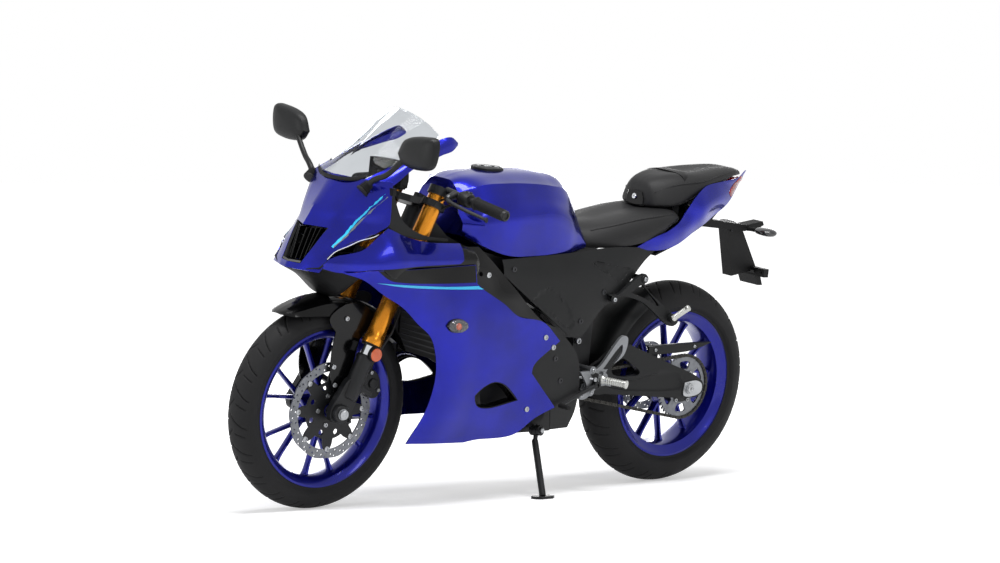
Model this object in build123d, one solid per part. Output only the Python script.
from build123d import *
import math
import os

os.makedirs("parts", exist_ok=True)

# Sport motorcycle, 125 cc class, standing on its side stand.
# Everything is drawn upright first: X forward, Y to the rider's left, Z up,
# with the ground at z = 0 under the middle of the wheelbase. The last step
# leans it to the left until the stand's foot is flat on the floor.
# Lengths are millimetres, angles are degrees.

# Main sizes
WHEELBASE = 1325.0
DRAWN_WHEELBASE = 1325.0
FRONT_AXLE_X = DRAWN_WHEELBASE / 2
REAR_AXLE_X = -DRAWN_WHEELBASE / 2
MIDDLE_FRONT_X = 60.0
MIDDLE_REAR_X = -160.0
FRONT_TYRE_RADIUS = 296.0
FRONT_TYRE_WIDTH = 100.0
REAR_TYRE_RADIUS = 314.0
REAR_TYRE_WIDTH = 140.0
PARK_LEAN = 8.0
PARK_SHIFT_X = 30.75
PARK_SHIFT_Y = -148.88

# Steering
RAKE = 24.0
FORK_OFFSET = 33.6
FORK_HALF_SPREAD = 98.0
FORK_LEG_LEAD = 23.1
STEERING_LOCK = 26.0
OUTER_TUBE_RADIUS = 26.0
INNER_TUBE_RADIUS = 20.5
FOOT_RADIUS = 25.0
STEM_RADIUS = 14.95
STEM_BORE_RADIUS = 15.0

# Axles and hubs
FRONT_AXLE_RADIUS = 7.5
REAR_AXLE_RADIUS = 8.5
AXLE_RUNNING_FIT = 0.05
SPACER_END_GAP = 0.5

# Wheels
RIM_FLANGE_RADIUS = 228.0
FRONT_RIM_INNER_RADIUS = 200.0
REAR_RIM_INNER_RADIUS = 192.0
SPOKE_PAIRS = 6
FRONT_DISC_RADIUS = 141.0
FRONT_DISC_Y = 60.0
REAR_DISC_RADIUS = 110.0
REAR_DISC_Y = -78.0
DISC_THICKNESS = 4.5

# Final drive
CHAIN_LINE_Y = 97.0
CHAIN_PITCH = 12.7
REAR_TEETH = 48
FRONT_TEETH = 14
FRONT_SPROCKET_X = -185.0
FRONT_SPROCKET_Z = 338.0
CHAIN_ROLLER_RADIUS = 4.0
CHAIN_TOOTH_GAP = 0.8

# Swingarm and stand
PIVOT_X = -255.0
PIVOT_Z = 345.0
PIVOT_TUBE_RADIUS = 16.0
STAND_PIVOT = (-65.0, 122.0, 213.0)
STAND_LEG_DIRECTION = (0.15, 0.45, -0.88)
STAND_FOOT_THICKNESS = 8.0

# Paddock stand bobbin holes in the swingarm's ends
BOBBIN_X = -694.0
BOBBIN_Z = 318.0
BOBBIN_HOLE_RADIUS = 3.4
BOBBIN_HOLE_FLOOR_Y = 112.0

PANEL_WALL = 3.0

RAKE_TAN = math.tan(math.radians(RAKE))
RAKE_COS = math.cos(math.radians(RAKE))
RAKE_SIN = math.sin(math.radians(RAKE))
FRONT_AXLE_Z = FRONT_TYRE_RADIUS
REAR_AXLE_Z = REAR_TYRE_RADIUS
STEERING_FOOT_X = FRONT_AXLE_X - FORK_OFFSET / RAKE_COS

# The lean turns the tyres over their round crowns, so the axles drop a little less than the lean alone.
PARK_LIFT = REAR_TYRE_WIDTH / 2 * (1 - math.cos(math.radians(PARK_LEAN)))
PARK = Location((PARK_SHIFT_X, PARK_SHIFT_Y, PARK_LIFT), (-PARK_LEAN, 0, 0))

pieces = {}


# Places along the machine are drawn at the drawn wheelbase. Another wheelbase moves the front and rear
# ends whole and stretches the middle between them.
def along(x):
    share = min(max((x - MIDDLE_REAR_X) / (MIDDLE_FRONT_X - MIDDLE_REAR_X), 0.0), 1.0)
    return x + (WHEELBASE - DRAWN_WHEELBASE) / 2 * (2 * share - 1)


def placed(point):
    x, y, z = point
    return Vector(along(x), y, z)


# Plain shape builders
def polygon_face(points):
    return Face(Wire.make_polygon([placed(p) for p in points], close=True))


def prism(outline, y_from, y_to):
    face = polygon_face([(x, y_from, z) for x, z in outline])
    return Solid.extrude(face, Vector(0, y_to - y_from, 0))


def plan_prism(outline, z_from, z_to):
    face = polygon_face([(x, y, z_from) for x, y in outline])
    return Solid.extrude(face, Vector(0, 0, z_to - z_from))


def front_prism(outline, x_from, x_to):
    face = polygon_face([(x_from, y, z) for y, z in outline])
    return Solid.extrude(face, Vector(x_to - x_from, 0, 0))


def box(x_from, x_to, y_from, y_to, z_from, z_to):
    return plan_prism([(x_from, y_from), (x_to, y_from), (x_to, y_to), (x_from, y_to)], z_from, z_to)


def rod(start, end, radius):
    start, end = placed(start), placed(end)
    return Solid.make_cylinder(radius, (end - start).length, Plane(origin=start, z_dir=end - start))


def cross_rod(x, z, radius, y_from, y_to):
    return rod((x, y_from, z), (x, y_to, z), radius)


def cylinder(base, direction, radius, length):
    return Solid.make_cylinder(radius, length, Plane(origin=base, z_dir=direction))


def bent_rod(points, radius, bend_radii):
    path = FilletPolyline(*[placed(p) for p in points], radius=bend_radii)
    section = Plane(origin=path @ 0, z_dir=path % 0) * Circle(radius)
    return sweep(section, path=path)


def loft(loops):
    wires = [Wire.make_polygon([placed(p) for p in loop], close=True) for loop in loops]
    return Solid.make_loft(wires, ruled=True)


def mirrored(shape):
    return shape.mirror(Plane.XZ)


def both_sides(shape):
    return Compound([solid for side in (shape, mirrored(shape)) for solid in side.solids()])


def ring(profile, x, z):
    # A (radius, y) outline turned about the cross axis through x, z.
    face = polygon_face([(x + r, y, z) for r, y in profile])
    return Solid.revolve(face, 360, Axis((along(x), 0, z), (0, 1, 0)))


def skin(stations, wall):
    # A thin wall through outer section lines: each station is (x, [(y, z), ...]).
    loops = []
    for x, line in stations:
        outer = [(x, y, z) for y, z in line]
        inner = [(x, y - wall, z) for y, z in reversed(line)]
        loops.append(outer + inner)
    return loft(loops)


def hood(levels, wall):
    # A wall round the nose: each level is (z, [(x, y), ...]) from the centre line back along the left side.
    loops = []
    for z, line in levels:
        outer = [(x, y, z) for x, y in line]
        inner = [(x - wall, max(y - wall, 0), z) for x, y in line]
        right_outer = [(x, -y, z) for x, y, _ in reversed(outer) if y > 0]
        right_inner = [(x, -y, z) for x, y, _ in reversed(inner) if y > 0]
        loops.append(right_outer + outer + list(reversed(inner)) + list(reversed(right_inner)))
    return loft(loops)


def plug(levels, x_back):
    # The solid behind the nose's lines, down to a flat back at x_back.
    loops = []
    for z, line in levels:
        left = [(x, y, z) for x, y in line]
        right = [(x, -y, z) for x, y, _ in reversed(left) if y > 0]
        loops.append(right + left + [(x_back, line[-1][1], z), (x_back, -line[-1][1], z)])
    return loft(loops)


def bulk(stations):
    # A solid body, the same on both sides: each station is (x, [(y, z), ...]) from top centre down to bottom centre.
    loops = []
    for x, line in stations:
        left = [(x, y, z) for y, z in line]
        right = [(x, -y, z) for y, z in reversed(line) if y > 0]
        loops.append(left + right)
    return loft(loops)


def steering_point(height, lead=0.0, y=0.0):
    # A point at this height of the steering axis, moved forward square to the axis.
    x = STEERING_FOOT_X - (height - FRONT_AXLE_Z) * RAKE_TAN
    return (x + lead * RAKE_COS, y, height + lead * RAKE_SIN)


def fork_point(height, y):
    # A point on a fork leg's centre line at this height.
    x = STEERING_FOOT_X + FORK_LEG_LEAD / RAKE_COS - (height - FRONT_AXLE_Z) * RAKE_TAN
    return (x, y, height)


def largest(shape):
    return shape.solids().sort_by(SortBy.VOLUME)[-1]


def keep(name, shape):
    pieces[name] = shape


# Wheels: cast rims with six pairs of slim spokes, hubs bored for their axles
def rim(x, z, inner, half_width):
    outline = [(RIM_FLANGE_RADIUS, half_width), (RIM_FLANGE_RADIUS - 7, half_width + 1), (inner + 5, half_width - 8),
               (inner, half_width * 0.3), (inner, -half_width * 0.3), (inner + 5, -half_width + 8),
               (RIM_FLANGE_RADIUS - 7, -half_width - 1), (RIM_FLANGE_RADIUS, -half_width),
               (RIM_FLANGE_RADIUS, -half_width + 4), (216, -half_width + 6), (213, -half_width + 18),
               (207, -half_width + 24), (207, half_width - 24), (213, half_width - 18), (216, half_width - 6),
               (RIM_FLANGE_RADIUS, half_width - 4)]
    return ring(outline, x, z)


def spokes(x, z, first_angle, half_angle, rim_inner, hub_radius, half_depth):
    solids = []
    for pair in range(SPOKE_PAIRS):
        for side in (-1, 1):
            centre = math.radians(first_angle + 360 / SPOKE_PAIRS * pair)
            outer = centre + side * math.radians(half_angle)
            start = Vector(-math.cos(centre), 0, math.sin(centre)) * 70
            end = Vector(-math.cos(outer), 0, math.sin(outer)) * (rim_inner + 3)
            run = (end - start).normalized()
            start = start - run * (70 - hub_radius + 6)
            across = Vector(run.Z, 0, -run.X)
            corners = [start + across * 8, end + across * 5.5, end - across * 5.5, start - across * 8]
            outline = [(x + c.X, z + c.Z) for c in corners]
            solids.append(prism(outline, -half_depth, half_depth))
    return solids


def tyre(drawn_x, z, radius, width, rim_half_width):
    x = along(drawn_x)
    crown = width / 2
    crown_centre = radius - crown
    lines = [Line((x + crown_centre, crown, z), (x + RIM_FLANGE_RADIUS, rim_half_width + 2.5, z)),
             Polyline((x + RIM_FLANGE_RADIUS, rim_half_width + 2.5, z), (x + RIM_FLANGE_RADIUS, rim_half_width - 4, z),
                      (x + 216, rim_half_width - 6, z), (x + 213, rim_half_width - 18, z),
                      (x + 207, rim_half_width - 24, z), (x + 207, -rim_half_width + 24, z),
                      (x + 213, -rim_half_width + 18, z), (x + 216, -rim_half_width + 6, z),
                      (x + RIM_FLANGE_RADIUS, -rim_half_width + 4, z),
                      (x + RIM_FLANGE_RADIUS, -rim_half_width - 2.5, z)),
             Line((x + RIM_FLANGE_RADIUS, -rim_half_width - 2.5, z), (x + crown_centre, -crown, z)),
             ThreePointArc((x + crown_centre, -crown, z), (x + radius, 0, z), (x + crown_centre, crown, z))]
    face = Face(Wire.combine([e for line in lines for e in line.edges()])[0])
    return Solid.revolve(face, 360, Axis((x, 0, z), (0, 1, 0)))


FRONT_RIM_HALF_WIDTH = 42.0
REAR_RIM_HALF_WIDTH = 59.0
FRONT_HUB_HALF_WIDTH = 56.0
REAR_HUB_HALF_WIDTH = 68.0

front_hub = ring([(FRONT_AXLE_RADIUS + AXLE_RUNNING_FIT, -44), (28, -44), (30, -30), (48, -20), (48, 20), (32, 30),
                  (32, FRONT_HUB_HALF_WIDTH), (FRONT_AXLE_RADIUS + AXLE_RUNNING_FIT, FRONT_HUB_HALF_WIDTH)],
                 FRONT_AXLE_X, FRONT_AXLE_Z)
front_wheel = rim(FRONT_AXLE_X, FRONT_AXLE_Z, FRONT_RIM_INNER_RADIUS, FRONT_RIM_HALF_WIDTH)
front_wheel = front_wheel.fuse(front_hub, *spokes(FRONT_AXLE_X, FRONT_AXLE_Z, 96, 13, FRONT_RIM_INNER_RADIUS, 48, 11))
keep("front_wheel", front_wheel)
keep("front_tyre", tyre(FRONT_AXLE_X, FRONT_AXLE_Z, FRONT_TYRE_RADIUS, FRONT_TYRE_WIDTH, FRONT_RIM_HALF_WIDTH))

rear_hub = ring([(REAR_AXLE_RADIUS + AXLE_RUNNING_FIT, -REAR_HUB_HALF_WIDTH), (34, -REAR_HUB_HALF_WIDTH), (34, -50),
                 (50, -30), (50, 20), (72, 34), (72, REAR_HUB_HALF_WIDTH),
                 (REAR_AXLE_RADIUS + AXLE_RUNNING_FIT, REAR_HUB_HALF_WIDTH)], REAR_AXLE_X, REAR_AXLE_Z)
rear_wheel = rim(REAR_AXLE_X, REAR_AXLE_Z, REAR_RIM_INNER_RADIUS, REAR_RIM_HALF_WIDTH)
rear_wheel = rear_wheel.fuse(rear_hub, *spokes(REAR_AXLE_X, REAR_AXLE_Z, 21, 14.5, REAR_RIM_INNER_RADIUS, 50, 12))
keep("rear_wheel", rear_wheel)
keep("rear_tyre", tyre(REAR_AXLE_X, REAR_AXLE_Z, REAR_TYRE_RADIUS, REAR_TYRE_WIDTH, REAR_RIM_HALF_WIDTH))

# Brake discs: a thin ring on a smaller carrier that bolts to the hub's end face
front_disc = ring([(113, FRONT_DISC_Y - DISC_THICKNESS / 2), (FRONT_DISC_RADIUS, FRONT_DISC_Y - DISC_THICKNESS / 2),
                   (FRONT_DISC_RADIUS, FRONT_DISC_Y + DISC_THICKNESS / 2), (113, FRONT_DISC_Y + DISC_THICKNESS / 2)],
                  FRONT_AXLE_X, FRONT_AXLE_Z)
front_carrier = ring([(22, FRONT_HUB_HALF_WIDTH), (60, FRONT_HUB_HALF_WIDTH),
                      (60, FRONT_DISC_Y - 2), (113, FRONT_DISC_Y - 2),
                      (113, FRONT_DISC_Y + 2), (22, FRONT_DISC_Y + 2)],
                     FRONT_AXLE_X, FRONT_AXLE_Z)
front_disc = front_disc.fuse(front_carrier)


def drilled(disc, x, z, y, rows):
    # Rows of small holes through a disc: (holes, circle radius, first angle, hole radius).
    holes = []
    for count, circle, first, radius in rows:
        for k in range(count):
            angle = math.radians(first + 360 / count * k)
            holes.append(cross_rod(x + circle * math.cos(angle), z + circle * math.sin(angle), radius, y - 6, y + 6))
    return disc.cut(*holes)


keep("front_disc", drilled(front_disc, FRONT_AXLE_X, FRONT_AXLE_Z, FRONT_DISC_Y, [
    (18, FRONT_DISC_RADIUS - 20, 0, 3.2), (18, FRONT_DISC_RADIUS - 9, 10, 3.2)]))

rear_disc = ring([(22, -REAR_HUB_HALF_WIDTH), (48, -REAR_HUB_HALF_WIDTH), (60, REAR_DISC_Y + 2),
                  (REAR_DISC_RADIUS, REAR_DISC_Y + 2), (REAR_DISC_RADIUS, REAR_DISC_Y - 2), (22, REAR_DISC_Y - 2)],
                 REAR_AXLE_X, REAR_AXLE_Z)
keep("rear_disc", drilled(rear_disc, REAR_AXLE_X, REAR_AXLE_Z, REAR_DISC_Y, [
    (14, REAR_DISC_RADIUS - 20, 0, 3.2), (14, REAR_DISC_RADIUS - 9, 13, 3.2)]))

# Final drive: the rear sprocket and a closed roller chain round it and the gearbox sprocket
REAR_PITCH_RADIUS = CHAIN_PITCH / 2 / math.sin(math.pi / REAR_TEETH)
FRONT_PITCH_RADIUS = CHAIN_PITCH / 2 / math.sin(math.pi / FRONT_TEETH)
TOOTH_TIP_RADIUS = REAR_PITCH_RADIUS - CHAIN_ROLLER_RADIUS - CHAIN_TOOTH_GAP
TOOTH_DEPTH = 5.0


def toothed_outline(x, z, teeth, tip, root):
    points = []
    for tooth in range(teeth):
        for part, radius in ((0.0, tip), (0.22, tip), (0.45, root), (0.77, root)):
            angle = 2 * math.pi * (tooth + part) / teeth
            points.append((x + radius * math.cos(angle), z + radius * math.sin(angle)))
    return points


sprocket = prism(toothed_outline(REAR_AXLE_X, REAR_AXLE_Z, REAR_TEETH, TOOTH_TIP_RADIUS,
                                 TOOTH_TIP_RADIUS - TOOTH_DEPTH), CHAIN_LINE_Y - 3, CHAIN_LINE_Y + 3)
sprocket = sprocket - cross_rod(REAR_AXLE_X, REAR_AXLE_Z, 30, CHAIN_LINE_Y - 10, CHAIN_LINE_Y + 10)
for window in range(6):
    angle = math.radians(30 + 60 * window)
    sprocket = sprocket - cross_rod(REAR_AXLE_X + 66 * math.cos(angle), REAR_AXLE_Z + 66 * math.sin(angle), 13,
                                    CHAIN_LINE_Y - 10, CHAIN_LINE_Y + 10)
sprocket_carrier = ring([(22, REAR_HUB_HALF_WIDTH), (58, REAR_HUB_HALF_WIDTH), (50, CHAIN_LINE_Y - 3),
                         (50, CHAIN_LINE_Y + 5), (22, CHAIN_LINE_Y + 5)], REAR_AXLE_X, REAR_AXLE_Z)
keep("rear_sprocket", sprocket.fuse(sprocket_carrier))


def chain_path():
    # Pin positions and outward directions round both sprockets.
    dx = REAR_AXLE_X - FRONT_SPROCKET_X
    dz = REAR_AXLE_Z - FRONT_SPROCKET_Z
    span = math.hypot(dx, dz)
    slope = math.atan2(dz, dx)
    spread = math.acos((REAR_PITCH_RADIUS - FRONT_PITCH_RADIUS) / span)
    straight = span * math.sin(spread)
    # Tangent directions seen from each centre, upper run first
    upper = slope + math.pi + spread
    lower = slope + math.pi - spread
    rear_wrap = 2 * math.pi - 2 * spread
    front_wrap = 2 * spread
    length = 2 * straight + rear_wrap * REAR_PITCH_RADIUS + front_wrap * FRONT_PITCH_RADIUS
    links = round(length / CHAIN_PITCH)
    step = length / links / 2
    points = []
    for index in range(links * 2):
        s = index * step
        if s < rear_wrap * REAR_PITCH_RADIUS:
            angle = upper + s / REAR_PITCH_RADIUS
            centre, radius = (REAR_AXLE_X, REAR_AXLE_Z), REAR_PITCH_RADIUS
        else:
            s -= rear_wrap * REAR_PITCH_RADIUS
            if s < straight:
                angle = lower
                share = s / straight
                start = (REAR_AXLE_X + REAR_PITCH_RADIUS * math.cos(lower),
                         REAR_AXLE_Z + REAR_PITCH_RADIUS * math.sin(lower))
                end = (FRONT_SPROCKET_X + FRONT_PITCH_RADIUS * math.cos(lower),
                       FRONT_SPROCKET_Z + FRONT_PITCH_RADIUS * math.sin(lower))
                centre = (start[0] + (end[0] - start[0]) * share, start[1] + (end[1] - start[1]) * share)
                radius = 0.0
            elif s < straight + front_wrap * FRONT_PITCH_RADIUS:
                angle = lower + (s - straight) / FRONT_PITCH_RADIUS
                centre, radius = (FRONT_SPROCKET_X, FRONT_SPROCKET_Z), FRONT_PITCH_RADIUS
            else:
                share = (s - straight - front_wrap * FRONT_PITCH_RADIUS) / straight
                angle = upper
                start = (FRONT_SPROCKET_X + FRONT_PITCH_RADIUS * math.cos(upper),
                         FRONT_SPROCKET_Z + FRONT_PITCH_RADIUS * math.sin(upper))
                end = (REAR_AXLE_X + REAR_PITCH_RADIUS * math.cos(upper),
                       REAR_AXLE_Z + REAR_PITCH_RADIUS * math.sin(upper))
                centre = (start[0] + (end[0] - start[0]) * share, start[1] + (end[1] - start[1]) * share)
                radius = 0.0
        points.append((centre[0] + radius * math.cos(angle), centre[1] + radius * math.sin(angle),
                       math.cos(angle), math.sin(angle)))
    return points


path = chain_path()
core_outer = [(x + nx * CHAIN_ROLLER_RADIUS, z + nz * CHAIN_ROLLER_RADIUS) for x, z, nx, nz in path[::2]]
core_inner = [(x - nx * CHAIN_ROLLER_RADIUS, z - nz * CHAIN_ROLLER_RADIUS) for x, z, nx, nz in path[::2]]
plate_outer = [(x + nx * (5.6 if i % 2 == 0 else 3.4), z + nz * (5.6 if i % 2 == 0 else 3.4))
               for i, (x, z, nx, nz) in enumerate(path)]
plate_inner = [(x - nx * (5.6 if i % 2 == 0 else 3.4), z - nz * (5.6 if i % 2 == 0 else 3.4))
               for i, (x, z, nx, nz) in enumerate(path)]


def loop_band(outer, inner, y_from, y_to):
    return prism(outer, y_from, y_to) - prism(inner, y_from - 1, y_to + 1)


chain = loop_band(core_outer, core_inner, CHAIN_LINE_Y - 5, CHAIN_LINE_Y + 5)
chain = chain.fuse(loop_band(plate_outer, plate_inner, CHAIN_LINE_Y + 4.5, CHAIN_LINE_Y + 8),
                   loop_band(plate_outer, plate_inner, CHAIN_LINE_Y - 8, CHAIN_LINE_Y - 4.5))
keep("chain", chain)

# Steering: yokes and stem, fork legs, axle feet and the front axle
def yoke(height, thickness, outline):
    plane = Plane(origin=placed(steering_point(height)), x_dir=(RAKE_COS, 0, RAKE_SIN), z_dir=(-RAKE_SIN, 0, RAKE_COS))
    face = Face(Wire.make_polygon([plane.from_local_coords(Vector(a, b, 0)) for a, b in outline], close=True))
    return Solid.extrude(face, plane.z_dir * thickness)


def fork_rod(y, z_from, z_to, radius):
    return rod(fork_point(z_from, y), fork_point(z_to, y), radius)


YOKE_HALF = [(30, 0), (34, 50), (58, FORK_HALF_SPREAD - 10), (58, FORK_HALF_SPREAD + 10), (42, FORK_HALF_SPREAD + 30),
             (5, FORK_HALF_SPREAD + 30), (-12, FORK_HALF_SPREAD + 14), (-30, 40), (-34, 0)]
YOKE_OUTLINE = YOKE_HALF + [(a, -b) for a, b in reversed(YOKE_HALF[1:-1])]
yokes = yoke(868, 20, YOKE_OUTLINE).fuse(yoke(684, 34, YOKE_OUTLINE))
yokes = yokes.fuse(rod(steering_point(684), steering_point(897), STEM_RADIUS),
                   rod(steering_point(886), steering_point(900), 20))
for y in (FORK_HALF_SPREAD, -FORK_HALF_SPREAD):
    yokes = yokes - fork_rod(y, 600, 1000, OUTER_TUBE_RADIUS)
keep("triple_clamps", yokes)

OUTER_TUBE_BOTTOM = 489.0
OUTER_TUBE_TOP = 926.0
FOOT_TOP = 455.0
outer_tube = fork_rod(FORK_HALF_SPREAD, OUTER_TUBE_BOTTOM, OUTER_TUBE_TOP, OUTER_TUBE_RADIUS)
outer_tube = outer_tube.fuse(fork_rod(FORK_HALF_SPREAD, OUTER_TUBE_BOTTOM, OUTER_TUBE_BOTTOM + 22, 29),
                             fork_rod(FORK_HALF_SPREAD, OUTER_TUBE_TOP, OUTER_TUBE_TOP + 6, 18))
keep("fork_outer_tubes", both_sides(outer_tube))
inner_tube = fork_rod(FORK_HALF_SPREAD, FOOT_TOP, OUTER_TUBE_BOTTOM, INNER_TUBE_RADIUS)
keep("fork_inner_tubes", both_sides(inner_tube))

foot = fork_rod(FORK_HALF_SPREAD, 330, FOOT_TOP, FOOT_RADIUS)
foot_web = prism([(604, 400), (652, 380), (690, 300), (672, 272), (640, 280), (612, 330)],
                 FORK_HALF_SPREAD - 14, FORK_HALF_SPREAD + 14)
axle_boss = cross_rod(FRONT_AXLE_X, FRONT_AXLE_Z, 25, FORK_HALF_SPREAD - 24, FORK_HALF_SPREAD + 24)
foot = foot.fuse(foot_web, axle_boss)
caliper_lug = prism([(604, 330), (575, 322), (548, 330), (548, 352), (592, 372)],
                    FORK_HALF_SPREAD - 18, FORK_HALF_SPREAD - 2)
left_foot = foot.fuse(caliper_lug) - cross_rod(FRONT_AXLE_X, FRONT_AXLE_Z, FRONT_AXLE_RADIUS, 0, 200)
right_foot = mirrored(foot) - cross_rod(FRONT_AXLE_X, FRONT_AXLE_Z, FRONT_AXLE_RADIUS, -200, 0)
keep("fork_feet", Compound(left_foot.solids() + right_foot.solids()))

BOSS_INNER_Y = FORK_HALF_SPREAD - 24
BOSS_OUTER_Y = FORK_HALF_SPREAD + 24
axle_bar = cross_rod(FRONT_AXLE_X, FRONT_AXLE_Z, FRONT_AXLE_RADIUS, -BOSS_OUTER_Y - 6, BOSS_OUTER_Y + 6)
left_spacer = cross_rod(FRONT_AXLE_X, FRONT_AXLE_Z, 15, FRONT_HUB_HALF_WIDTH + SPACER_END_GAP, BOSS_INNER_Y)
right_spacer = cross_rod(FRONT_AXLE_X, FRONT_AXLE_Z, 15, -BOSS_INNER_Y, -44 - SPACER_END_GAP)
axle_heads = [cross_rod(FRONT_AXLE_X, FRONT_AXLE_Z, 14, BOSS_OUTER_Y, BOSS_OUTER_Y + 8),
              cross_rod(FRONT_AXLE_X, FRONT_AXLE_Z, 14, -BOSS_OUTER_Y - 8, -BOSS_OUTER_Y)]
keep("front_axle", axle_bar.fuse(left_spacer, right_spacer, *axle_heads))

caliper = prism([(508, 352), (520, 396), (560, 412), (590, 396), (592, 372), (548, 330), (520, 330)],
                40, FORK_HALF_SPREAD - 18)
caliper = caliper - ring([(60, FRONT_DISC_Y - 4), (FRONT_DISC_RADIUS + 4, FRONT_DISC_Y - 4),
                          (FRONT_DISC_RADIUS + 4, FRONT_DISC_Y + 4), (60, FRONT_DISC_Y + 4)],
                         FRONT_AXLE_X, FRONT_AXLE_Z)
keep("front_caliper", caliper - left_foot)

# The brake's hose, clipped up behind the left leg from the caliper to a block under the lower yoke
HOSE_Y = FORK_HALF_SPREAD - 26
hose = bent_rod([(546, HOSE_Y, 396), (528, HOSE_Y, 442), (488, HOSE_Y + 18, 520), (452, HOSE_Y + 18, 620),
                 (434, HOSE_Y, 676), (431, HOSE_Y, 696)], 4, [24, 40, 60, 20])
hose = hose.fuse(cross_rod(546, 400, 8, HOSE_Y - 5, HOSE_Y + 5), box(418, 444, HOSE_Y - 10, HOSE_Y + 10, 672, 688))
keep("brake_hose", largest(hose - pieces["front_caliper"] - yokes))

# Clip-on bars with switch housings, grips, levers
BAR_RISE = 926.0


def bar_point(y):
    start = fork_point(BAR_RISE + 8, FORK_HALF_SPREAD)
    return (start[0] - (y - FORK_HALF_SPREAD) * 0.155, y, start[2] - (y - FORK_HALF_SPREAD) * 0.165)


bar = rod(bar_point(FORK_HALF_SPREAD), bar_point(236), 11)
bar = bar.fuse(rod(bar_point(184), bar_point(214), 19), fork_rod(FORK_HALF_SPREAD, 912, 934, OUTER_TUBE_RADIUS + 5.5))
bar = bar - fork_rod(FORK_HALF_SPREAD, 800, 1000, OUTER_TUBE_RADIUS)
keep("clip_ons", both_sides(bar))
grip = rod(bar_point(236), bar_point(340), 16.5).fuse(rod(bar_point(340), bar_point(350), 14))
keep("grips", both_sides(grip))
lever_root = bar_point(170)
lever_tip = bar_point(330)
LEVER_STATIONS = [  # x, y, z at the station, then the bar's rear, front, bottom and top from there
    (lever_root[0], 170, lever_root[2], 18, 48, -10, 4),
    (lever_root[0], 195, lever_root[2], 40, 58, -16, -6),
    (lever_tip[0], 320, lever_tip[2], 46, 58, -18, -9),
]
lever = loft([[(x + rear, y, z + low), (x + front, y, z + low), (x + front, y, z + high), (x + rear, y, z + high)]
              for x, y, z, rear, front, low, high in LEVER_STATIONS])
lever = lever.fuse(prism([(lever_root[0] + 5, lever_root[2] - 10), (lever_root[0] + 30, lever_root[2] - 10),
                          (lever_root[0] + 30, lever_root[2] + 4), (lever_root[0] + 5, lever_root[2] + 4)], 150, 172))
lever = lever - rod(bar_point(90), bar_point(236), 11)
right_lever = mirrored(lever)
reservoir = box(lever_root[0] + 8, lever_root[0] + 46, -172, -140, lever_root[2] - 4, lever_root[2] + 26)
reservoir = reservoir - mirrored(rod(bar_point(90), bar_point(236), 11))
keep("levers", Compound(lever.solids() + right_lever.fuse(reservoir).solids()))

# Front mudguard over the tyre, with a stay down each side to the axle feet
MUDGUARD_RADIUS = 324.0
arc_steps = [56, 68, 80, 92, 104, 118, 132, 148]
mudguard_loops = []
for angle in arc_steps:
    a = math.radians(angle)
    drop = 12 if angle == 56 else 52
    half = 40 if angle == 56 else 62
    outer = [(MUDGUARD_RADIUS, 0.0), (MUDGUARD_RADIUS - 6, half * 0.6), (MUDGUARD_RADIUS - 22, half),
             (MUDGUARD_RADIUS - drop, half + 4)]
    inner = [(r - 2.5, max(y - 2.5, 0.0)) for r, y in outer]
    left = [(FRONT_AXLE_X + r * math.cos(a), y, FRONT_AXLE_Z + r * math.sin(a)) for r, y in outer]
    right = [(x, -y, z) for x, y, z in reversed(left[1:])]
    left_in = [(FRONT_AXLE_X + r * math.cos(a), y, FRONT_AXLE_Z + r * math.sin(a)) for r, y in inner]
    right_in = [(x, -y, z) for x, y, z in reversed(left_in[1:])]
    mudguard_loops.append(right + left + list(reversed(left_in)) + list(reversed(right_in)))
mudguard = loft(mudguard_loops)
stay = prism([(575, 600), (640, 605), (690, 575), (690, 545), (668, 524), (678, 460), (594, 460), (555, 545)], 63.5, 73)
stay = stay.fuse(prism([(678, 460), (682, 441), (682, 403), (661, 352), (628, 382), (594, 460)], 68, 73))
stay = stay.fuse(prism([(600, 440), (650, 440), (655, 400), (610, 395)], 68, FORK_HALF_SPREAD - 6))
mudguard = mudguard.fuse(stay, mirrored(stay))
for y in (FORK_HALF_SPREAD, -FORK_HALF_SPREAD):
    mudguard = mudguard - fork_rod(y, 480, 640, 29.0)
keep("front_fender", mudguard - left_foot - right_foot - outer_tube - mirrored(outer_tube))

reflector_at = fork_point(466, FORK_HALF_SPREAD)
reflector = cross_rod(reflector_at[0], reflector_at[2], 20, FORK_HALF_SPREAD + 31, FORK_HALF_SPREAD + 41)
reflector = reflector.fuse(cross_rod(reflector_at[0], reflector_at[2], 7, FORK_HALF_SPREAD + 14, FORK_HALF_SPREAD + 31))
reflector = reflector - fork_rod(FORK_HALF_SPREAD, 440, 500, INNER_TUBE_RADIUS) - foot
keep("fork_reflectors", both_sides(reflector))

# Frame: head tube, two side beams and the pivot plates, with the seat rails behind
BEAM_STATIONS = [(376, 22, 752, 828, 10), (345, 34, 735, 840, 12), (300, 50, 715, 790, 13), (250, 66, 700, 765, 14), (120, 92, 650, 730, 15),
                 (-40, 96, 570, 715, 15), (-160, 84, 485, 680, 12), (-206, 74, 480, 645, 12), (-212, 72, 305, 640, 12),
                 (-280, 72, 310, 600, 12)]
beam = loft([[(x, y + t, hi), (x, y + t, lo), (x, y - t, lo), (x, y - t, hi)] for x, y, lo, hi, t in BEAM_STATIONS])
head_tube = rod(steering_point(724), steering_point(861), 27)
gusset = prism([(418, 738), (390, 800), (370, 840), (330, 830), (306, 800), (306, 760), (250, 755), (250, 712),
                (340, 722)], -22, 22)
rails = loft([[(x, y + 9, z + 10), (x, y + 9, z - 10), (x, y - 9, z - 10), (x, y - 9, z + 10)]
              for x, y, z in ((-160, 84, 650), (-300, 86, 690), (-430, 82, 735), (-550, 72, 772), (-740, 48, 855))])
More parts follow.
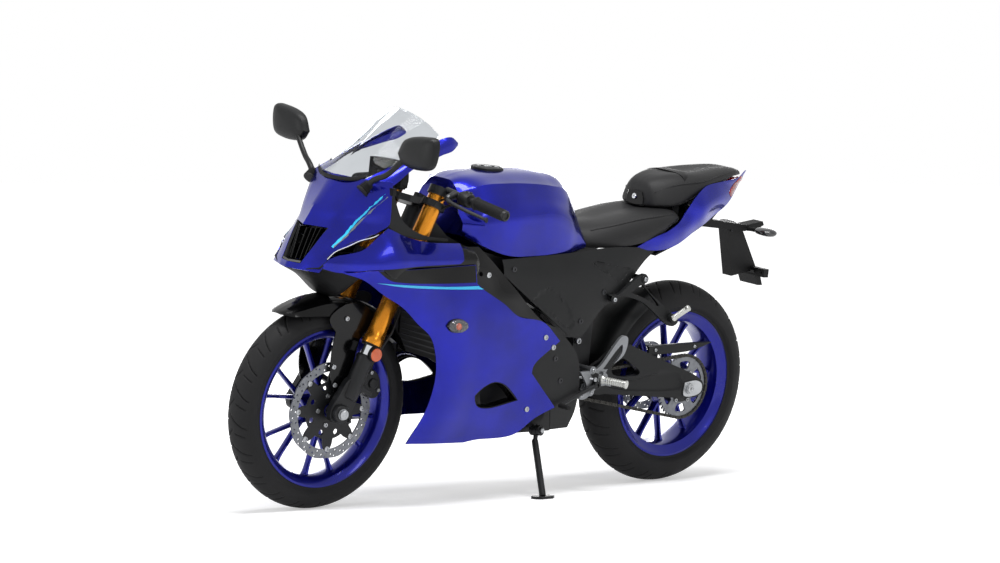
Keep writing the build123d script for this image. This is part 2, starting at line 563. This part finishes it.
cross = [box(-232, -208, -70, 70, 592, 622), box(-440, -420, -80, 80, 728, 742), box(-740, -722, -48, 48, 842, 858),
         box(0, 30, -92, 92, 700, 735), box(-230, -210, -70, 70, 480, 500)]
nose_stays = [rod((395, side * 14, 810), (668, side * 44, 800), 8) for side in (1, -1)]
seat_support = [box(-640, -600, -72, 72, 800, 818), box(-635, -605, -30, 30, 812, 882)]
engine_hangers = [box(-60, -40, side * 86 - 6, side * 86 + 6, 440, 600) for side in (1, -1)]
cross += nose_stays + engine_hangers + seat_support
pivot_boss = cross_rod(PIVOT_X, PIVOT_Z, 28, 62, 86)
frame = beam.fuse(mirrored(beam), gusset, head_tube, rails, mirrored(rails), *cross, pivot_boss, mirrored(pivot_boss))
frame = frame - rod(steering_point(600), steering_point(1000), STEM_BORE_RADIUS)
frame = frame - cross_rod(PIVOT_X, PIVOT_Z, 8, -200, 200)
keep("main_frame", frame)

# Engine: one plain block with its cylinder, side covers and the gearbox sprocket
crankcase = prism([(-195, 230), (-205, 420), (-120, 470), (60, 450), (130, 410), (175, 340), (165, 240), (110, 198),
                   (-150, 198)], -80, 80)
cylinder_block = prism([(-10, 440), (110, 410), (200, 610), (170, 660), (60, 670), (20, 600)], -58, 58)
stator_cover = cross_rod(85, 330, 78, 78, 118)
clutch_cover = cross_rod(20, 330, 88, -118, -78)
gearbox_cover = cross_rod(FRONT_SPROCKET_X, FRONT_SPROCKET_Z, 14, 78, CHAIN_LINE_Y + 9)
engine = crankcase.fuse(cylinder_block, stator_cover, clutch_cover, gearbox_cover)
gear = prism(toothed_outline(FRONT_SPROCKET_X, FRONT_SPROCKET_Z, FRONT_TEETH, FRONT_PITCH_RADIUS - 5.6,
                             FRONT_PITCH_RADIUS - 9), CHAIN_LINE_Y - 3, CHAIN_LINE_Y + 3)
engine = engine.fuse(gear)
keep("engine", engine)

radiator = box(252, 278, -140, 140, 420, 660)
radiator = radiator.fuse(box(246, 284, -160, -140, 410, 670), box(246, 284, 140, 160, 410, 670))
radiator_stays = both_sides(box(196, 252, 44, 56, 600, 620))
keep("radiator", radiator.fuse(*radiator_stays.solids()) - engine)

# Exhaust: down pipe under the engine to a short silencer on the right
pipe = bent_rod([(160, 0, 575), (222, 0, 525), (206, -20, 330), (150, -60, 172), (-60, -95, 166), (-210, -120, 190),
                 (-300, -160, 235)], 17, [30, 80, 60, 120, 120]) - engine
silencer = loft([[(x, y + a * w, z + b * h) for a, b in ((1, 0.5), (1, -0.5), (0.5, -1), (-0.5, -1), (-1, -0.5),
                                                         (-1, 0.5), (-0.5, 1), (0.5, 1))]
                 for x, y, z, w, h in ((-270, -160, 225, 24, 26), (-330, -172, 260, 42, 52),
                                       (-560, -180, 330, 46, 58), (-640, -180, 352, 40, 50))])
keep("exhaust", pipe.fuse(silencer))

# Swingarm with its cross tube, pivot and axle plates
ARM_OUTLINE = [(-236, 372), (-300, 405), (-376, 462), (-435, 446), (-560, 400), (-700, 346), (-722, 326), (-722, 303),
               (-700, 288), (-637, 286), (-317, 312), (-236, 318)]
ARM_SLOT = [(-330, 392), (-372, 418), (-392, 412), (-450, 372), (-432, 362), (-340, 372)]
arm = prism(ARM_OUTLINE, 108, 130) - prism(ARM_SLOT, 100, 140)
cross_tube = box(-338, -289, -110, 110, 308, 360).fuse(box(-318, -296, -14, 14, 358, 392))
pivot_tube = cross_rod(PIVOT_X, PIVOT_Z, PIVOT_TUBE_RADIUS, 87, 110)
swingarm = arm.fuse(mirrored(arm), cross_tube, pivot_tube, mirrored(pivot_tube))
swingarm = swingarm - cross_rod(PIVOT_X, PIVOT_Z, 8, -200, 200)
swingarm = swingarm - cross_rod(REAR_AXLE_X, REAR_AXLE_Z, REAR_AXLE_RADIUS, -200, 200)
for y_from, y_to in ((BOBBIN_HOLE_FLOOR_Y, 140), (-140, -BOBBIN_HOLE_FLOOR_Y)):
    swingarm = swingarm - cross_rod(BOBBIN_X, BOBBIN_Z, BOBBIN_HOLE_RADIUS, y_from, y_to)
keep("swingarm", swingarm)

rear_axle = cross_rod(REAR_AXLE_X, REAR_AXLE_Z, REAR_AXLE_RADIUS, -142, 142)
rear_axle = rear_axle.fuse(cross_rod(REAR_AXLE_X, REAR_AXLE_Z, 17, 130, 140),
                           cross_rod(REAR_AXLE_X, REAR_AXLE_Z, 17, -140, -130),
                           cross_rod(REAR_AXLE_X, REAR_AXLE_Z, 18, CHAIN_LINE_Y + 5 + SPACER_END_GAP, 108),
                           cross_rod(REAR_AXLE_X, REAR_AXLE_Z, 18, -108, REAR_DISC_Y - 2 - SPACER_END_GAP),
                           cross_rod(PIVOT_X, PIVOT_Z, 8, -138, 138), cross_rod(PIVOT_X, PIVOT_Z, 15, 130, 138),
                           cross_rod(PIVOT_X, PIVOT_Z, 15, -138, -130))
keep("rear_axle", rear_axle)

guard = prism([(-500, 446), (-768, 452), (-671, 424), (-545, 420), (-500, 420)], 88, 106)
guard = guard.fuse(box(-520, -500, 100, 112, 415, 432))
keep("chain_guard", guard - prism(ARM_OUTLINE, 108, 130))

hugger_loops = []
for angle in (10, 24, 38, 52, 64):
    a = math.radians(angle)
    line = [(334, 0), (330, 45), (312, 76), (292, 82)]
    left = [(REAR_AXLE_X + r * math.cos(a), y, REAR_AXLE_Z + r * math.sin(a)) for r, y in line]
    left_in = [(REAR_AXLE_X + (r - 2.5) * math.cos(a), max(y - 2.5, 0), REAR_AXLE_Z + (r - 2.5) * math.sin(a))
               for r, y in line]
    right = [(x, -y, z) for x, y, z in reversed(left[1:])]
    right_in = [(x, -y, z) for x, y, z in reversed(left_in[1:])]
    hugger_loops.append(right + left + list(reversed(left_in)) + list(reversed(right_in)))
hugger = loft(hugger_loops).fuse(box(-336, -322, -60, 60, 360, 376)) - swingarm
keep("hugger", hugger)

shock = rod((-300, 0, 400), (-228, 0, 570), 28).fuse(rod((-307, 0, 384), (-220, 0, 592), 12))
keep("rear_shock", largest(shock - swingarm - frame))

rear_caliper = prism([(-560, 372), (-590, 412), (-640, 424), (-640, 392), (-600, 372), (-590, 350)], -104, -66)
rear_caliper = rear_caliper - ring([(40, REAR_DISC_Y - 4), (REAR_DISC_RADIUS + 4, REAR_DISC_Y - 4),
                                    (REAR_DISC_RADIUS + 4, REAR_DISC_Y + 4), (40, REAR_DISC_Y + 4)],
                                   REAR_AXLE_X, REAR_AXLE_Z)
rear_caliper = rear_caliper.fuse(prism([(-560, 372), (-590, 412), (-600, 372), (-590, 350)], -109, -100))
keep("rear_caliper", rear_caliper - swingarm)

# Side stand, swung down; its leg runs to a foot plate that lies flat when the bike leans
lean = math.radians(PARK_LEAN)
leg_direction = Vector(*STAND_LEG_DIRECTION).normalized()
pivot_vector = placed(STAND_PIVOT)
floor_normal = Vector(0, -math.sin(lean), math.cos(lean))
floor_offset = -PARK_LIFT
foot_height = STAND_FOOT_THICKNESS
leg_length = (pivot_vector.dot(floor_normal) - floor_offset - foot_height) / -leg_direction.dot(floor_normal)
foot_centre = pivot_vector + leg_direction * leg_length
foot_plane = Plane(origin=foot_centre, x_dir=(1, 0, 0), z_dir=floor_normal)
pad_outline = [(-34, -14), (-34, 14), (-20, 24), (24, 24), (36, 10), (36, -10), (24, -22), (-20, -22)]
pad = Solid.extrude(Face(Wire.make_polygon([foot_plane.from_local_coords(Vector(a, b, -foot_height))
                                            for a, b in pad_outline], close=True)), floor_normal * foot_height)
stand_axis = Vector(-0.184, 1.0, 0.15).normalized()
stand_hub = cylinder(pivot_vector - stand_axis * 7, stand_axis, 15, 14)
stand_neck = pivot_vector + (leg_direction - stand_axis * leg_direction.dot(stand_axis)).normalized() * 34
stand_leg = rod(tuple(pivot_vector), tuple(stand_neck), 6.8).fuse(Solid.make_sphere(10, Plane(stand_neck)),
                                                                  rod(tuple(stand_neck), tuple(foot_centre), 10))
stand = stand_leg.fuse(pad, stand_hub)
stand_bore = cylinder(pivot_vector - stand_axis * 30, stand_axis, 6.05, 60)
stand = stand - stand_bore
floor_cut = Solid.extrude(Face(Wire.make_polygon([foot_plane.from_local_coords(Vector(a, b, -foot_height - 40))
                                                  for a, b in ((-80, -80), (80, -80), (80, 80), (-80, 80))],
                                                 close=True)), floor_normal * 40)
keep("side_stand", stand - floor_cut)

stand_pin = cylinder(pivot_vector - stand_axis * 19, stand_axis, 6, 38)
inner_fork = cylinder(pivot_vector - stand_axis * 17, stand_axis, 16, 9)
outer_fork = cylinder(pivot_vector + stand_axis * 9, stand_axis, 16, 8)
stand_bracket = stand_pin.fuse(inner_fork, outer_fork)
stand_bracket = stand_bracket.fuse(prism([(-78, 216), (-52, 216), (-30, 262), (-100, 262)], 80, 112)
                                   - cylinder(pivot_vector - stand_axis * 8, stand_axis, 19, 17))
keep("stand_bracket", stand_bracket)

# Fuel tank with side covers, and its hinged filler cap
TANK_STATIONS = [
    (290, [(0, 950), (48, 946), (74, 902), (112, 866), (134, 832), (128, 800), (60, 795), (0, 795)]),
    (236, [(0, 968), (60, 962), (114, 938), (150, 880), (168, 836), (148, 778), (60, 770), (0, 770)]),
    (73, [(0, 980), (62, 972), (126, 950), (172, 895), (176, 866), (138, 737), (60, 735), (0, 735)]),
    (-42, [(0, 972), (60, 966), (112, 940), (150, 905), (154, 880), (134, 738), (60, 735), (0, 735)]),
    (-120, [(0, 960), (58, 952), (92, 925), (126, 885), (132, 850), (128, 742), (60, 740), (0, 740)]),
    (-160, [(0, 905), (54, 896), (80, 872), (104, 840), (112, 815), (116, 748), (60, 745), (0, 745)]),
    (-190, [(0, 822), (50, 815), (78, 800), (96, 785), (104, 775), (108, 756), (60, 752), (0, 752)]),
]
tank = bulk(TANK_STATIONS)
CAP_X = 120.0
CAP_Z = 968.0
tank = tank.fuse(rod((CAP_X, 0, CAP_Z - 6), (CAP_X, 0, CAP_Z + 16), 44))
tank = tank - rod((CAP_X, 0, CAP_Z + 8), (CAP_X, 0, CAP_Z + 38), 36)
tank = tank - rod((CAP_X, 0, CAP_Z - 40), (CAP_X, 0, CAP_Z + 20), 22)
for near, far in ((9, 13), (-13, -9)):
    tank = tank.fuse(box(CAP_X + 38, CAP_X + 43, near, far, CAP_Z + 13, CAP_Z + 22))
tank = tank.fuse(cross_rod(CAP_X + 40, CAP_Z + 19, 1.5, -13, 13))
tank = tank - frame
keep("fuel_tank", tank)

cap = rod((CAP_X, 0, CAP_Z + 8.5), (CAP_X, 0, CAP_Z + 15.5), 35)
cap = cap.fuse(rod((CAP_X, 0, CAP_Z - 4), (CAP_X, 0, CAP_Z + 10), 18))
cap = cap.fuse(cross_rod(CAP_X + 40, CAP_Z + 19, 2.4, -8, 8), box(CAP_X + 26, CAP_X + 40, -8, 8, CAP_Z + 14, CAP_Z + 19))
cap = cap - box(CAP_X + 34, CAP_X + 50, -9, 9, CAP_Z, CAP_Z + 16.6) - cross_rod(CAP_X + 40, CAP_Z + 19, 1.55, -20, 20)
keep("fuel_cap", cap)

# Nose cowl with its intake, the slim lamps beside it and the lens behind it
NOSE_LEVELS = [
    (696, [(812, 0), (800, 22), (786, 44), (760, 92), (726, 128), (612, 172)]),
    (735, [(806, 0), (792, 26), (772, 50), (752, 100), (706, 138), (600, 180)]),
    (812, [(777, 0), (764, 40), (740, 72), (716, 108), (668, 150), (598, 186)]),
    (870, [(740, 0), (728, 46), (706, 90), (682, 122), (642, 152), (598, 182)]),
    (918, [(706, 0), (696, 52), (678, 104), (660, 126), (632, 148), (594, 172)]),
    (962, [(676, 0), (672, 50), (654, 112), (640, 126), (622, 140), (588, 160)]),
]
nose = hood(NOSE_LEVELS, PANEL_WALL)
SLOT_TOP = [(770, 738), (742, 761), (683, 794), (635, 813), (607, 834), (560, 834)]
nose_keep = prism([(850, 690), (850, 1000), (592, 1000), (592, 952), (607, 841), (607, 836), (635, 815), (683, 796),
                   (742, 763), (757, 740), (775, 712), (790, 690)], -250, 250)
intake = front_prism([(-72, 818), (72, 818), (44, 712), (20, 700), (-20, 700), (-44, 712)], 700, 850)
screen_foot = prism([(684, 948), (560, 1000), (560, 1100), (850, 1100), (850, 948)], -250, 250)
nose = (nose & nose_keep) - intake
nose = nose - (screen_foot & box(500, 850, -112, 112, 940, 1100))
EAR_STATIONS = [
    (652, [(112, 962), (128, 948), (142, 930)]),
    (592, [(116, 992), (142, 972), (160, 950)]),
    (520, [(124, 1030), (148, 1012), (160, 992)]),
    (450, [(132, 1062), (148, 1046), (152, 1022)]),
    (400, [(138, 1080), (148, 1066), (146, 1042)]),
    (352, [(140, 1074), (144, 1068), (144, 1062)]),
]
ear = skin(EAR_STATIONS, PANEL_WALL)
nose = Compound((nose.fuse(ear, mirrored(ear))).solids())
keep("nose_cowl", nose)

LAMP_RECESS = 22.0
LAMP_BACK_X = 655.0
bezel_levels = [(z, [(x - PANEL_WALL, max(y - PANEL_WALL, 0)) for x, y in line[:4]]) for z, line in NOSE_LEVELS]
floor_levels = [(z, [(x - LAMP_RECESS, max(y - PANEL_WALL, 0)) for x, y in line[:4]]) for z, line in NOSE_LEVELS]
bezel_outline = [(-80, 824), (80, 824), (52, 704), (26, 698), (-26, 698), (-52, 704)]
mouth_outline = [(-66, 814), (66, 814), (40, 716), (18, 706), (-18, 706), (-40, 716)]
bezel = (plug(bezel_levels, LAMP_BACK_X) & front_prism(bezel_outline, 600, 850)) - front_prism(mouth_outline, 600, 850)
bezel = bezel.fuse(plug(floor_levels, LAMP_BACK_X) & front_prism(bezel_outline, 600, 850))
headlamp = bezel - frame
keep("headlamp", headlamp)
lens = rod((722, 0, 766), (772, 0, 766), 20) - bezel
keep("lamp_lenses", lens)

# Windscreen
SCREEN_LEVELS = [
    (944, [(690, 0), (684, 45), (668, 84), (655, 108)]),
    (1000, [(634, 0), (624, 55), (596, 104), (572, 124)]),
    (1050, [(582, 0), (570, 60), (534, 116), (500, 136)]),
    (1100, [(532, 0), (518, 64), (470, 124), (420, 144)]),
    (1156, [(474, 0), (460, 66), (410, 128), (360, 148)]),
]
screen = hood(SCREEN_LEVELS, PANEL_WALL)
screen_front = front_prism([(-112, 930), (-112, 960), (-128, 1010), (-140, 1060), (-142, 1094), (-96, 1130),
                            (-40, 1148), (0, 1151), (40, 1148), (96, 1130), (142, 1094), (140, 1060), (128, 1010),
                            (112, 960), (112, 930)], 300, 720)
keep("windscreen", (screen & screen_front) - nose)

# Dark panels either side of the cockpit and the instrument
cockpit_side = prism([(590, 952), (603, 841), (562, 818), (479, 798), (366, 790), (366, 797), (470, 812), (540, 850),
                      (575, 915)], 150, 156)
keep("cockpit_panels", both_sides(cockpit_side))
instrument = box(470, 496, -75, 75, 930, 1000)
instrument = instrument.fuse(box(490, 600, -12, 12, 935, 950), box(590, 602, -178, 178, 925, 945),
                             box(590, 602, -12, 12, 790, 945))
keep("instrument", largest(instrument - nose - frame - both_sides(cockpit_side)))

# Upper fairings: the blue wings below the slots
UPPER_STATIONS = [
    (760, [(104, 742), (108, 736), (112, 730), (108, 706)]),
    (740, [(116, 762), (126, 740), (130, 726), (124, 706)]),
    (683, [(152, 795), (172, 760), (180, 735), (172, 690)]),
    (607, [(176, 836), (196, 800), (214, 745), (200, 650)]),
    (520, [(184, 800), (202, 780), (216, 748), (204, 700)]),
    (430, [(184, 796), (200, 780), (212, 750), (206, 700)]),
    (348, [(184, 790), (198, 778), (208, 752), (204, 700)]),
]
upper = skin(UPPER_STATIONS, PANEL_WALL)
upper_keep = prism([(757, 736), (742, 744), (684, 768), (654, 792), (636, 811), (607, 834), (551, 810), (480, 795),
                    (350, 788), (350, 744), (363, 735), (520, 731), (671, 719), (726, 704), (775, 714)], 0, 300)
upper = (upper & upper_keep).fuse(rod((648, 148, 832), (648, 174, 788), 5), cross_rod(430, 722, 6, 200, 210)) - nose

# Lower fairings, one each side, with the scoop opening low down
LOWER_STATIONS = [
    (700, [(166, 735), (172, 712), (170, 700), (166, 690), (160, 680), (150, 660), (150, 640)]),
    (612, [(198, 735), (196, 700), (190, 668), (180, 648), (176, 630), (170, 600), (165, 570)]),
    (520, [(206, 735), (208, 690), (206, 640), (200, 590), (190, 560), (185, 500), (180, 450)]),
    (450, [(206, 735), (212, 680), (214, 610), (212, 530), (206, 440), (196, 330), (172, 205)]),
    (385, [(206, 735), (214, 670), (224, 590), (226, 500), (222, 410), (208, 310), (172, 204)]),
    (256, [(204, 735), (210, 660), (220, 580), (224, 500), (220, 410), (204, 310), (172, 204)]),
    (100, [(200, 735), (204, 650), (210, 580), (212, 500), (208, 410), (196, 310), (172, 204)]),
    (-70, [(190, 735), (196, 650), (200, 580), (202, 500), (202, 410), (198, 310), (176, 204)]),
]
lower = skin(LOWER_STATIONS, PANEL_WALL)
LOWER_OUTLINE = [(726, 704), (677, 689), (612, 649), (546, 612), (493, 566), (450, 529), (426, 480), (417, 415),
                 (421, 342), (433, 278), (461, 209), (256, 204), (215, 211), (70, 219), (5, 272), (-60, 300),
                 (50, 406), (43, 435), (-49, 498), (25, 556), (129, 578), (185, 615), (267, 659), (293, 677),
                 (300, 730), (671, 716)]
SCOOP = [(264, 351), (197, 388), (152, 378), (87, 326), (197, 308), (242, 315)]
lower = (lower & prism(LOWER_OUTLINE, 0, 300)) - prism(SCOOP, 0, 300)
keep("upper_fairings", both_sides(largest(upper - lower)))
lower = largest(lower.fuse(cross_rod(265, 560, 6, 160, 218)))
keep("fairing_left", lower)
keep("fairing_right", mirrored(lower))

# Dark infill panels between the fairings and the tank, and the satin side covers behind them
INFILL_STATIONS = [
    (350, [(178, 780), (184, 760), (188, 735), (188, 680)]),
    (272, [(176, 780), (184, 740), (190, 700), (190, 640)]),
    (150, [(168, 730), (180, 680), (188, 640), (194, 560)]),
    (8, [(160, 700), (170, 620), (182, 560), (184, 500)]),
    (-175, [(158, 640), (166, 520), (168, 400), (160, 220)]),
]
infill = skin(INFILL_STATIONS, PANEL_WALL)
INFILL_OUTLINE = [(346, 778), (272, 777), (207, 726), (87, 617), (8, 554), (-59, 526), (-158, 434), (-173, 285),
                  (-147, 226), (-60, 226), (-50, 300), (40, 410), (30, 440), (-40, 495), (30, 552), (135, 574),
                  (190, 612), (290, 672), (298, 728)]
infill = infill & prism(INFILL_OUTLINE, 0, 300)
infill = infill.fuse(cross_rod(150, 672, 6, 104, 181), cross_rod(-140, 300, 6, 80, 162)) - frame
keep("infill_panels", both_sides(infill))

SIDE_STATIONS = [
    (160, [(152, 735), (162, 715), (164, 690), (164, 660)]),
    (0, [(140, 742), (158, 700), (164, 620), (166, 520)]),
    (-180, [(136, 755), (150, 700), (156, 600), (156, 480)]),
    (-330, [(134, 762), (142, 710), (142, 640), (138, 560)]),
    (-475, [(118, 790), (126, 752), (126, 720), (120, 650)]),
]
SIDE_OUTLINE = [(159, 733), (157, 690), (-118, 500), (-166, 495), (-222, 552), (-266, 589), (-323, 608),
                (-411, 709), (-472, 753), (-289, 761), (-83, 744)]
side_cover = skin(SIDE_STATIONS, PANEL_WALL) & prism(SIDE_OUTLINE, 0, 300)


# Seats and tail
SEAT_STATIONS = [
    (-195, [(0, 822), (56, 818), (96, 785), (112, 752), (60, 752), (0, 752)]),
    (-260, [(0, 828), (62, 824), (112, 795), (128, 758), (60, 752), (0, 752)]),
    (-340, [(0, 846), (78, 842), (122, 810), (136, 762), (60, 752), (0, 752)]),
    (-430, [(0, 860), (90, 856), (126, 825), (138, 775), (60, 760), (0, 760)]),
    (-500, [(0, 862), (94, 860), (126, 838), (136, 800), (60, 775), (0, 775)]),
    (-556, [(0, 864), (92, 862), (112, 852), (118, 840), (60, 800), (0, 800)]),
]
keep("rider_seat", bulk(SEAT_STATIONS) - frame)
PILLION_STATIONS = [
    (-478, [(0, 925), (28, 922), (42, 900), (44, 866), (30, 866), (0, 866)]),
    (-500, [(0, 950), (50, 944), (74, 915), (84, 866), (50, 866), (0, 866)]),
    (-560, [(0, 968), (62, 962), (86, 930), (100, 868), (60, 866), (0, 866)]),
    (-650, [(0, 974), (80, 968), (100, 945), (102, 915), (60, 880), (0, 880)]),
    (-740, [(0, 982), (60, 978), (80, 962), (84, 940), (50, 920), (0, 920)]),
    (-860, [(0, 986), (40, 982), (52, 975), (54, 964), (30, 955), (0, 955)]),
]
keep("pillion_seat", bulk(PILLION_STATIONS) - frame)
TAIL_STATIONS = [
    (-370, [(126, 770), (130, 760), (128, 750)]),
    (-490, [(138, 808), (140, 780), (128, 746)]),
    (-560, [(126, 850), (136, 815), (122, 758)]),
    (-650, [(112, 932), (128, 870), (110, 800)]),
    (-730, [(94, 942), (108, 895), (92, 846)]),
    (-852, [(62, 956), (66, 950), (60, 944)]),
]
TAIL_OUTLINE = [(-371, 751), (-501, 807), (-560, 842), (-651, 933), (-677, 942), (-852, 954), (-800, 890), (-783, 880),
                (-728, 846), (-612, 793), (-549, 760), (-486, 746)]
tail_side = skin(TAIL_STATIONS, PANEL_WALL) & prism(TAIL_OUTLINE, 0, 300)
tail_side = tail_side - pieces["rider_seat"]
keep("tail_cowl", both_sides(tail_side))
undertray = loft([[(x, -y, z), (x, y, z), (x, y, z - 6), (x, -y, z - 6)]
                  for x, y, z in ((-480, 112, 733), (-550, 112, 760), (-728, 84, 838), (-796, 62, 880))])
undertray = undertray - tail_side - mirrored(tail_side) - frame
keep("undertray", undertray)
tail_lamp = loft([[(x, -y, z + 8), (x, y, z + 8), (x, y, z - 8), (x, -y, z - 8)]
                  for x, y, z in ((-796, 62, 892), (-830, 52, 930), (-858, 46, 950))])
keep("tail_lamp", tail_lamp - pieces["pillion_seat"] - tail_side - mirrored(tail_side))

hanger = prism([(-700, 850), (-735, 838), (-790, 820), (-948, 800), (-935, 782), (-740, 800), (-690, 822)], -26, 26)
hanger = hanger.fuse(prism([(-860, 790), (-925, 790), (-1005, 664), (-985, 655), (-900, 640)], -20, 20),
                     prism([(-940, 801), (-1012, 812), (-1018, 800), (-1000, 792), (-940, 784)], -21, 21))
plate_bar = box(-1000, -980, -82, 82, 644, 670)
PLATE_HOLE_SPACING = 140.0
PLATE_HOLE_RADIUS = 3.0
hanger = hanger.fuse(plate_bar, prism([(-975, 660), (-1000, 660), (-1020, 612), (-1000, 612)], -40, 40))
for y in (PLATE_HOLE_SPACING / 2, -PLATE_HOLE_SPACING / 2):
    hanger = hanger - rod((-960, y, 657), (-1020, y, 657), PLATE_HOLE_RADIUS)
hanger = largest(hanger - undertray - frame)
keep("tail_bracket", hanger)
INDICATOR_STATIONS = [(22, 0, 6, 7), (52, -2, 6, 7), (60, -4, 20, 12), (104, -8, 24, 13), (122, -10, 10, 6)]
indicator = loft([[(-958 + lag + a * long, y, 789 + b * high) for a, b in (
    (1, 0), (0.7, 0.7), (0, 1), (-0.7, 0.7), (-1, 0), (-0.7, -0.7), (0, -1), (0.7, -0.7))]
                  for y, lag, long, high in INDICATOR_STATIONS])
keep("rear_indicators", both_sides(indicator - hanger))
front_indicator = loft([[(367 + a * w, y, 560 + b * h) for a, b in ((1, 0), (0.6, 0.8), (-0.3, 1), (-1, 0.3),
                                                                     (-1, -0.3), (-0.3, -1), (0.6, -0.8))]
                        for y, w, h in ((205, 36, 20), (232, 34, 19), (250, 16, 9))])
keep("front_indicators", both_sides(largest(front_indicator - lower)))

# Foot controls
step = prism([(-177, 392), (-200, 392), (-240, 400), (-330, 495), (-348, 490), (-340, 440), (-270, 384), (-300, 345),
              (-262, 350), (-200, 312), (-180, 312), (-205, 345)], 160, 170)
step = step.fuse(prism([(-177, 392), (-200, 392), (-205, 345), (-200, 312), (-180, 312)], 132, 170))
step = step.fuse(cross_rod(-222, 330, 7, 84, 165), cross_rod(-222, 396, 7, 84, 165))
keep("step_brackets", both_sides(step))
peg = rod((-258, 170, 368), (-290, 250, 366), 11).fuse(rod((-258, 160, 368), (-258, 176, 368), 14))
pillion_peg = rod((-520, 176, 545), (-545, 235, 600), 9)

shift = rod((-235, 176, 352), (-90, 190, 300), 5).fuse(rod((-235, 170, 352), (-235, 184, 352), 12),
                                                   rod((-90, 182, 300), (-90, 230, 300), 7))
keep("shift_lever", shift - step)
brake = rod((-235, -176, 352), (-90, -190, 300), 6).fuse(rod((-235, -170, 352), (-235, -184, 352), 12),
                                                     rod((-90, -182, 300), (-90, -230, 300), 7))
keep("brake_pedal", brake - mirrored(step))
pillion_bracket = prism([(-290, 612), (-400, 680), (-412, 660), (-400, 650), (-540, 545), (-556, 530), (-530, 520),
                         (-390, 600), (-262, 622)], 150, 162)
pillion_bracket = pillion_bracket - prism([(-350, 625), (-392, 648), (-470, 580), (-400, 610)], 140, 170)
pillion_bracket = pillion_bracket.fuse(box(-300, -270, 84, 162, 595, 618), rod((-520, 150, 545), (-520, 176, 545), 14),
                                       box(-412, -390, 84, 162, 655, 676))
pillion_bracket = pillion_bracket - frame
keep("pillion_brackets", both_sides(pillion_bracket))
pegs = both_sides(peg - step).solids() + both_sides(pillion_peg - pillion_bracket).solids()
keep("foot_pegs", Compound(pegs))
side_cover = side_cover - pillion_bracket - pieces["rider_seat"] - tail_side
keep("side_covers", both_sides(side_cover))

# Mirrors on short stalks from the nose
MIRROR_BACK = [(214, 1050), (240, 1092), (330, 1112), (372, 1108), (376, 1060), (358, 1026), (240, 1022)]
MIRROR_FRONT = [(224, 1052), (246, 1086), (330, 1104), (362, 1100), (366, 1062), (350, 1034), (246, 1030)]
mirror_head = loft([[(612, y, z) for y, z in MIRROR_BACK], [(640, y, z) for y, z in MIRROR_FRONT]])
stalk = bent_rod([(655, 122, 935), (652, 150, 965), (640, 190, 985), (628, 250, 1040)], 8, [20, 30])
mount_pad = rod((668, 122, 930), (640, 130, 958), 17)
mirror = mirror_head.fuse(stalk, mount_pad) - Compound([nose])
keep("mirrors", both_sides(largest(mirror)))
glass = front_prism([(222, 1052), (244, 1084), (330, 1104), (364, 1100), (368, 1062), (350, 1034), (246, 1030)], 609, 612)
keep("mirror_glasses", both_sides(glass))

for name, shape in pieces.items():
    export_step(PARK * shape, "parts/" + name + ".step")
